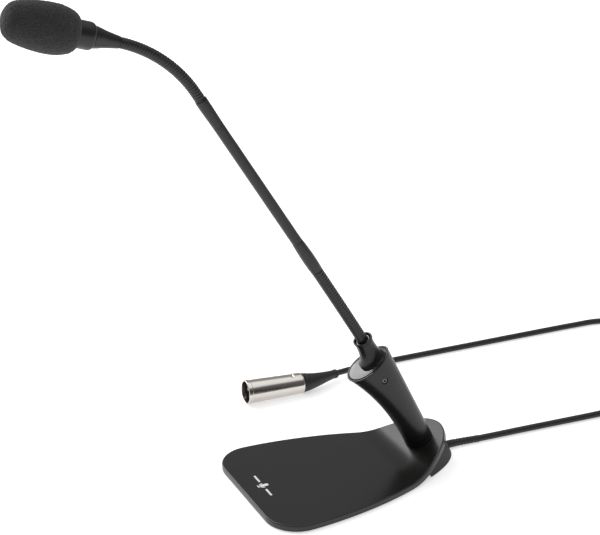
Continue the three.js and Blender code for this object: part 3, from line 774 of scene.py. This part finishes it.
# Rows climb from the foot to the rounded rim, step down into the cap's recess and go on down the socket.
def addColumn():
    start, flare, edge, rim, recess = (column[k] for k in ("start", "flare", "edge", "rim", "recess"))
    rings = [ovalRing(start, flare, -0.25)]
    for turn in quarter(8):
        rings.append(ovalRing(start, flare * (1 - math.sin(turn)), flare * (1 - math.cos(turn)) * 0.6))
    for t in np.linspace(start + 0.02, 0.985, 70):
        rings.append(ovalRing(t))
    for turn in quarter(7):
        rings.append(ovalRing(1, -edge * (1 - math.cos(turn)), -edge * (1 - math.sin(turn))))
    ledge = [(-0.7, 0), (0.3 - rim, 0), (0.1 - rim, -0.06), (-rim, -0.25), (-rim, -2.1), (-rim - 0.1, -recess)]
    rings += [ovalRing(1, grow, up) for grow, up in ledge]
    rings += [boreRing(socket["radius"] + 0.2, -recess), boreRing(socket["radius"], -recess - 0.3)]
    axes, origin = socketPlace
    flat = boreRing(socket["radius"], 0) - origin
    flat -= np.outer(flat @ axes[:, 2], axes[:, 2])
    rings += [origin + flat - depth * axes[:, 2] for depth in (*column["bore"], socket["depth"])]
    piece = addPiece("columnShell", [skin(np.array(rings))], finish["columnPlastic"])
    cutter = screwCutter()
    hole = piece.modifiers.new("hole", "BOOLEAN")
    hole.operation, hole.object, hole.solver = "DIFFERENCE", cutter, "EXACT"
    bpy.context.view_layer.update()
    shape = bpy.data.meshes.new_from_object(piece.evaluated_get(bpy.context.evaluated_depsgraph_get()))
    piece.modifiers.clear()
    piece.data = shape
    shape.shade_smooth()
    shape.set_sharp_from_angle(angle=math.radians(34))
    bpy.data.objects.remove(cutter)
    return settle(piece, "base", "column_plastic", "column")


screw = {
    "x": 11.35, "y": 20.4, "z": 73.6, "out": 0.45, "radius": 2.0, "long": 3.6, "key": 1.0, "keyDepth": 1.5,
    "hole": 2.35, "sink": (0.8, 2.4),
}


def sideways(x):
    return np.array([[0, 0, 1], [1, 0, 0], [0, 1, 0]], float), np.array([x, screw["y"], screw["z"]])


# The hole through the column's side: straight, then widening outwards.
def screwCutter():
    r, (low, high) = screw["hole"], screw["sink"]
    wide = r + high - low
    corners = [(0.1, -4.6, 0), (r, -4.6, 0), (r, low, 0), (wide, high, 0), (wide, 5, 0), (0.1, 5, 0)]
    rings = turned(rounded(corners), sideways(screw["x"]), 48)
    return addPiece("screwCutter", [skin(rings)], finish["screwSteel"])


# Grub screw: round rings outside, then rings whose radius follows a hexagon down the key hole.
def addScrew():
    r, long, key, deep = screw["radius"], screw["long"], screw["key"], screw["keyDepth"]
    angle = around(48)
    hexagon = key * math.cos(math.pi / 6) / np.cos((angle % (fullTurn / 6)) - math.pi / 6)
    outside = [(0.1, -long), (r - 0.2, -long), (r, 0.2 - long), (r, -0.35), (r - 0.35, 0), (r - 0.6, 0)]
    hole = [(1.06, 0), (1.0, -0.12), (1.0, -deep), (0.1, -deep - 0.4)]
    rings = [
        np.stack([np.cos(angle) * share, np.sin(angle) * share, h + 0 * angle], 1)
        for share, h in [(radius, h) for radius, h in outside] + [(radius * hexagon, h) for radius, h in hole]
    ]
    rings = put(np.array(rings), sideways(screw["x"] + screw["out"]))
    return addRigid("lockingScrew", rings, "screwSteel", "screw", "black_screw", "locking_screw", sharp=28)


cap = {"gap": 0.3, "low": -1.9, "edge": 0.6, "shoulder": -0.4, "top": 0.2, "swell": 0.3, "bore": 0.1}


# Oval cover in the column's recess, pierced for the neck: outer wall, round edge, a top swollen by a
# half wave of a sine, bore.
def addCap():
    wall = -column["rim"] - cap["gap"]
    rows = [ovalRing(1, wall, cap["low"]), ovalRing(1, wall, cap["shoulder"])]
    for turn in quarter(7):
        up = cap["shoulder"] + cap["edge"] * math.sin(turn)
        rows.append(ovalRing(1, wall - cap["edge"] * (1 - math.cos(turn)), up))
    for share in np.linspace(0, 1, 9):
        height = cap["top"] + cap["swell"] * math.sin(math.pi * share)
        outer, inner = ovalRing(1, wall - 0.9, height), boreRing(socket["radius"] + 0.5, height)
        rows.append(outer + (inner - outer) * share)
    rows += [boreRing(socket["radius"] + cap["bore"], up) for up in (0.05, cap["low"])]
    rows = np.array(rows)
    return addRigid("columnCap", rows, "glossPlastic", "base", "gloss_plastic", "column_cap", closed=True)


addPlate()
addMark()
addHousing()
addColumn()
addScrew()
addCap()
print("base, column and cap made")


collar = {"base": 10.3, "waist": 6.35, "mouth": 6.95, "long": 19.2, "cavity": 5.75, "floor": 7}
neck = {
    "startY": 8.13, "startTilt": 30.94, "lowerFlex": 67, "lowerTurn": 1.2, "upperStart": 217.8,
    "upperFlex": 66.4, "upperTurn": 40.4, "bendFrom": 223, "lowerRadius": 3.95, "tubeRadius": 3.62,
    "upperRadius": 3.55, "hinge": 24, "hingeStep": 20, "between": 34, "ferrule": 27.2, "tubeEnd": 196,
    "lowerRib": 2.23, "upperRib": 1.89, "ribDepth": 0.36, "step": 0.25,
}
headStart = neck["upperStart"] + neck["upperFlex"]


def neckTilt(d):
    lower = np.clip(d / neck["lowerFlex"], 0, 1) * neck["lowerTurn"]
    upper = np.clip((d - neck["bendFrom"]) / (headStart - neck["bendFrom"]), 0, 1) * neck["upperTurn"]
    return np.radians(neck["startTilt"] + lower + upper)


# The neck's line in the YZ plane, summed in quarter millimetres from the collar's mouth along its tilt.
neckSteps = np.arange(-20, 300, neck["step"])
stepTilt = neckTilt(neckSteps + neck["step"] / 2)
neckWay = np.stack([-np.sin(stepTilt), np.cos(stepTilt)], 1) * neck["step"]
neckLine = np.vstack([[0, 0], np.cumsum(neckWay, axis=0)[:-1]])
mouthZ = put(np.array([0, 0, collar["long"]]), socketPlace)[2]
neckLine += np.array([neck["startY"], mouthZ]) - neckLine[np.searchsorted(neckSteps, 0)]


def neckAt(d):
    y, z = (np.interp(d, neckSteps, neckLine[:, k]) for k in range(2))
    return np.stack([0 * d, y, z], -1)


# Rings square to the neck's line; the radius is one number for each ring, or one for each point of it.
def neckRings(d, radius, sides=64):
    angle = around(sides)
    radius = radius if np.ndim(radius) == 2 else radius[:, None]
    tilt = neckTilt(d)[:, None]
    up = radius * np.sin(angle)
    return neckAt(d)[:, None] + np.stack([radius * np.cos(angle), up * np.cos(tilt), up * np.sin(tilt)], -1)


# Spiral-wound length of the neck: a round bead climbs one pitch a turn, so the radius follows the root of
# a half circle over each pitch.
def flexPiece(name, start, end, radius, pitch, sides=48):
    d = np.linspace(start, end, int((end - start) / pitch * 12))
    share = (d[:, None] / pitch + np.arange(sides) / sides) % 1
    bead = np.sqrt(np.clip(1 - (2 * share - 1) ** 2, 0, 1))
    rings = neckRings(d, radius - neck["ribDepth"] * (1 - bead), sides)
    return addPiece(name, [skin(rings)], finish["flexCover"], sharp=70)


def blendFlex(piece, at, low, high, nodes):
    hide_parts(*nodes)
    start, end = neckAt(np.array([at - low, at + high])) * mm
    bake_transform(piece)


# Each flexible length is two skins that meet halfway between its hinges.
def addFlexes():
    for name, start, bodies in (
        ("lower", 0, ("neck_foot", "lower_bend", "stem")),
        ("upper", neck["upperStart"], ("stem", "upper_bend", "head")),
    ):
        middle, hinge = start + neck["between"], start + neck["hinge"]
        begin = collar["floor"] + 1 - collar["long"] if name == "lower" else start
        end = start + neck[name + "Flex"]
        radius, pitch = neck[name + "Radius"], neck[name + "Rib"]
        root = flexPiece(name + "FlexRoot", begin, middle, radius, pitch)
        tip = flexPiece(name + "FlexTip", middle, end, radius, pitch)
        blendFlex(root, hinge, 20, 10, [name + "_flex_base", name + "_flex_middle"])
        blendFlex(tip, hinge + neck["hingeStep"], 10, 19, [name + "_flex_top"])


# Rigid middle of the neck: barrel ferrule, plain tube, and a ferrule that widens a little towards its end.
def addTube():
    start, tubeEnd, r, top = neck["lowerFlex"], neck["tubeEnd"], neck["tubeRadius"], neck["upperStart"]
    end = start + neck["ferrule"]
    barrel = [
        (start + 0.5, 4.02), (start + 4, 4.2), (start + 11, 4.33), (end - 9, 4.2), (end - 2, 3.86),
        (end - 0.2, 3.72),
    ]
    tube = rounded([(end + 0.05, r - 0.3, 0), (end + 0.05, r, 0.1), (tubeEnd, r, 0.15), (tubeEnd, r - 0.3, 0)])
    cone = [
        (tubeEnd + 0.1, r + 0.02), (tubeEnd + 5, r + 0.08), (top - 10, 3.86), (top - 5, 3.95), (top - 0.7, 3.95),
    ]
    barrel = np.vstack([[start + 0.15, 3.4], curveThrough(barrel, 8), [end, 3.6]])
    cone = np.vstack([[tubeEnd + 0.05, 3.4], curveThrough(cone, 8), [top - 0.2, 3.75], [top - 0.15, 3.3]])
    for name, node, line, sharp in (
        ("lowerFerrule", "lower_ferrule", barrel, 45),
        ("neckTube", "neck_tube", tube, 34),
        ("upperFerrule", "upper_ferrule", cone, 45),
    ):
        rings = neckRings(line[:, 0], line[:, 1], 96)
        addRigid(name, rings, "neckPaint", "stem", "neck_paint", node, sharp=sharp)


# Turned cone on the cap: flared foot cut to the cap's plane, lip with a groove under it, open mouth.
def addCollar():
    b, w, m, h, c, floor = (collar[k] for k in ("base", "waist", "mouth", "long", "cavity", "floor"))
    flare = curveThrough([
        (b, 0.75), (b - 0.55, 1.3), (w + 2.2, 2.9), (w + 1.2, 5.2), (w + 0.45, 8.5), (w, 13), (w, h - 2.6),
    ], 8)
    groove = w - 0.12
    lip = rounded([
        (w, h - 2.4, 0), (groove, h - 2.3, 0.1), (groove, h - 1.9, 0.1), (m, h - 1.7, 0.25), (m, h, 0.4),
        (c + 0.25, h, 0.4), (c, h - 0.6, 0.2), (c, floor, 0.3), (0.6, floor, 0),
    ])
    profile = np.vstack([flare, lip])
    angle = around(column["sides"])
    r, up = profile[:, :1], profile[:, 1:]
    rings = put(np.stack([-r * np.sin(angle), r * np.cos(angle), up + 0 * angle], -1), socketPlace)
    foot = np.array([boreRing(2.0, 0.25), boreRing(b - 0.25, 0.25), boreRing(b, 0.4)])
    rings = np.concatenate([foot, rings])
    addRigid("neckCollar", rings, "collarPlastic", "neck_foot", "gloss_plastic", "collar")


collarRing = {"from": -6, "to": -1.2, "inner": 4.25, "outer": 4.85}


def addCollarRing():
    low, high, inner, outer = (collarRing[k] for k in ("from", "to", "inner", "outer"))
    sleeve = rounded([
        (low, inner, 0.1), (low, outer, 0.1), (high, outer, 0.2), (high, inner, 0.1), (low + 0.4, inner, 0),
    ])
    rings = neckRings(sleeve[:, 0], sleeve[:, 1], 72)
    addRigid("collarRing", rings, "ringNickel", "neck_foot", "nickel", "collar_ring", closed=True)


connector = {
    "radius": 7.4, "wall": 0.9, "long": 20, "insert": (6.2, -1.3, -6), "pins": (5.9, 18.2), "pinRadius": 0.95,
    "pinCircle": 3.4,
}


# The neck's own connector under the collar: shell open downwards, insert and three contacts.
def addConnector():
    r, long, (wide, high, low) = connector["radius"], connector["long"], connector["insert"]
    inner = r - connector["wall"]
    shell = [
        (0.5, -0.4, 0), (r, -0.4, 0.2), (r, -long, 0.3), (inner, -long, 0.3), (inner, -1.2, 0.3),
        (0.5, -1.2, 0),
    ]
    disc = [(0.5, high, 0), (wide, high, 0.2), (wide, low, 0.3), (0.5, low, 0)]
    rings = turned(rounded(shell), socketPlace)
    addRigid("neckPlugShell", rings, "nickelPlate", "neck_foot", "nickel", "neck_plug_shell")
    rings = turned(rounded(disc), socketPlace)
    addRigid("neckPlugInsert", rings, "insertPlastic", "neck_foot", "insert_plastic", "neck_plug_insert")
    flipped = (socketPlace[0] @ np.diag([-1.0, 1.0, -1.0]), socketPlace[1])
    addPins("neck", connector, connector["pins"], flipped, "neck_foot")


head = {
    "cone": 16.9, "radius": 8.5, "housing": 12.1, "capsule": 18, "grille": 5.8, "foamFrom": 27.6, "droop": 1,
}
headTilt = math.degrees(neckTilt(np.array([headStart]))[0])
headPlace = leaning(*neckAt(np.array([headStart]))[0, 1:], headTilt)


# Turned pieces one behind the other on the head's axis: cone, housing, capsule and its domed grille.
def addHead():
    cone, r = head["cone"], head["radius"]
    a, b = cone + 0.2, cone + head["housing"]
    low, high = b + 0.05, b + head["capsule"]
    foot, peak = high + 0.1, high + head["grille"]
    body = curveThrough([
        (3.83, 0.35), (4.05, 2), (4.42, 4.2), (5.02, 7.7), (5.38, 9.5), (5.8, 11.3), (6.3, 13.2),
        (6.98, cone - 0.4),
    ], 8)
    tip = rounded([(7.0, cone - 0.35, 0), (7.02, cone, 0.2), (0.5, cone, 0)])
    shoulder = curveThrough([
        (7.25, a + 0.05), (7.75, a + 0.45), (8.2, a + 1.15), (r - 0.05, a + 2.0), (r, a + 2.8),
    ], 8)
    front = rounded([(r, a + 3.2, 0), (r, b, 0.35), (0.5, b, 0)])
    can = rounded([
        (0.5, low, 0), (6, low, 0), (6, low + 3, 0.1), (5.8, low + 3.2, 0.1), (5.8, low + 4.2, 0.1),
        (6, low + 4.4, 0.1), (6, high, 0.3), (0.5, high, 0),
    ])
    dome = rounded([
        (0.5, foot, 0), (6.1, foot, 0.2), (6.1, peak - 1.4, 1.2), (4.4, peak, 1.5), (0.5, peak, 0),
    ], 9)
    for name, node, look, slotName, profile, sharp in (
        ("headCone", "head_cone", "neckPaint", "neck_paint", np.vstack([[(3.4, 0.1)], body, tip]), 40),
        ("capsuleHousing", "capsule_housing", "neckPaint", "neck_paint",
         np.vstack([[(0.5, a), (6.9, a), (7.15, a)], shoulder, front]), 50),
        ("micCapsule", "mic_capsule", "capsuleMetal", "capsule_metal", can, 34),
        ("capsuleGrille", "capsule_grille", "mesh", "grille_mesh", dome, 34),
    ):
        addRigid(name, turned(profile, headPlace), look, "head", slotName, node, sharp=sharp)


windscreen = {
    "bore": 8.7, "depth": 33.5, "pores": 0.10, "seed": 4,
    "grain": {"size": 1.4, "count": 70, "share": 0.7}, "swell": {"size": 5, "count": 40, "share": 0.25},
    "outside": [
        (8.8, 0.5), (9.9, 0.05), (11.4, 1.4), (12.6, 3.2), (13.8, 6.7), (14.65, 10.3), (15.02, 14.7),
        (14.97, 19), (14.7, 23), (14.15, 28), (13.5, 31.6), (12.7, 35.1), (11.6, 38.7), (10.5, 40.4),
        (8.9, 42.2), (5.5, 44), (2.5, 44.7), (0.4, 44.8),
    ],
}


# Sum of cosines in random directions: a smooth random height of about unit size over space.
def lumps(points, seed, size, count, share):
    random = np.random.default_rng(seed)
    ways = random.normal(size=(count, 3))
    pace = fullTurn / (size * np.linalg.norm(ways, axis=1, keepdims=True))
    ways *= pace * random.uniform(0.7, 1.4, (count, 1))
    starts = random.uniform(0, fullTurn, count)
    return share * np.cos(points @ ways.T + starts).sum(-1) * math.sqrt(2 / count)


# Foam cover, open at the back; its outside droops a little from the head's axis and is pushed out and in
# by the random height, which gives the grain of the foam.
def addWindscreen():
    bore, depth, seed = windscreen["bore"], windscreen["depth"], windscreen["seed"]
    outside = evenly(curveThrough(windscreen["outside"], 12), 0.26)[::-1]
    inside = [(0.4, depth, 0), (6.5, depth, 1.5), (6.7, 2.6, 0.5), (bore, 1.9, 0.4), (bore, 0.7, 0.1)]
    axes, origin = headPlace
    back = origin + head["foamFrom"] * axes[:, 2]
    lean = leaning(0, 0, head["droop"])[0]
    cover = turned(outside, (axes @ lean, back), 288)
    hollow = turned(rounded(inside, 6)[::-1], (axes, back), 288)
    out = cover - cover.mean(1, keepdims=True)
    out /= np.linalg.norm(out, axis=-1, keepdims=True)
    out += 0.6 * axes[:, 2] * smoothStep(outside[:, 1], 36, 44)[:, None, None]
    height = lumps(cover, seed, **windscreen["grain"]) + lumps(cover, seed + 1, **windscreen["swell"])
    rings = np.concatenate([cover + out * (windscreen["pores"] * height)[..., None], hollow])
    piece = addRigid("foamWindscreen", rings, "foam", "windscreen", "foam", "foam_windscreen", sharp=80)


addCollar()
addCollarRing()
addConnector()
addFlexes()
addTube()
addHead()
addWindscreen()
print("neck and head made")

# CAD pieces that keep their own shape
for node, name in (("rubber_pad", "padRubber"), ("socket_insert", "insertPlastic")):
    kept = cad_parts[node]
    kept.data.materials.clear()
    kept.data.materials.append(finish[name])

studio = {
    "floorSize": 60, "floorShade": 0.74, "floorGlow": 0.56,
    "key": {"place": (-2.14, -1.0, 1.85), "size": (1.66, 2.8), "glow": 4.6},
    "sky": {"low": 0.04, "behind": 0.34, "top": 1.0, "rise": (0.70, 0.86), "away": (-0.9, 0.43, 0)},
}


def addFloor():
    mesh = bpy.data.meshes.new("floor")
    half = studio["floorSize"] / 2
    corners = [(-half, -half, 0), (half, -half, 0), (half, half, 0), (-half, half, 0)]
    mesh.from_pydata(corners, [], [(0, 1, 2, 3)])
    floor = bpy.data.objects.new("floor", mesh)
    bpy.context.scene.collection.objects.link(floor)
    glow = {"Emission Color": (1, 1, 1, 1), "Emission Strength": studio["floorGlow"]}
    made = Finish("lightTable", {"Specular IOR Level": 0.1, "Roughness": 0.9, **glow})
    shade = studio["floorShade"]
    made.feed("Base Color", made.blend(made.noise(3), grey(shade), grey(shade + 0.01)))
    mesh.materials.append(made.material)


def addKey():
    key = studio["key"]
    data = bpy.data.lights.new("key", "AREA")
    data.shape, (data.size, data.size_y) = "RECTANGLE", key["size"]
    data.energy = key["glow"] * math.pi * data.size * data.size_y
    lamp = bpy.data.objects.new("key", data)
    bpy.context.scene.collection.objects.link(lamp)
    lamp.location = key["place"]
    lamp.rotation_euler = (-Vector(key["place"])).to_track_quat("-Z", "Y").to_euler()


# Studio around the table: bright overhead, dim low down, and dimmest on the camera's side.
def addSky():
    sky = studio["sky"]
    world = bpy.data.worlds.new("sky")
    bpy.context.scene.world = world
    world.use_nodes = True
    made = Nodes(world.node_tree)
    way = made.node("TexCoord", out="Generated")
    away = made.node("VectorMath", {"operation": "DOT_PRODUCT"}, {0: way, 1: sky["away"]}, out="Value")
    height = made.node("SeparateXYZ", inputs={0: way}, out="Z")
    low = (away * 0.5 + 0.5) * sky["behind"] + sky["low"]
    rise = {"Value": height, "From Min": sky["rise"][0], "From Max": sky["rise"][1]}
    up = made.node("MapRange", {"interpolation_type": "SMOOTHSTEP"}, rise)
    background = made.tree.nodes["Background"]
    background.inputs["Color"].default_value = (1, 1, 1, 1)
    made.tree.links.new((low + up * sky["top"]).socket, background.inputs["Strength"])


addFloor()
addKey()
addSky()
bpy.context.scene.view_settings.view_transform = "Standard"
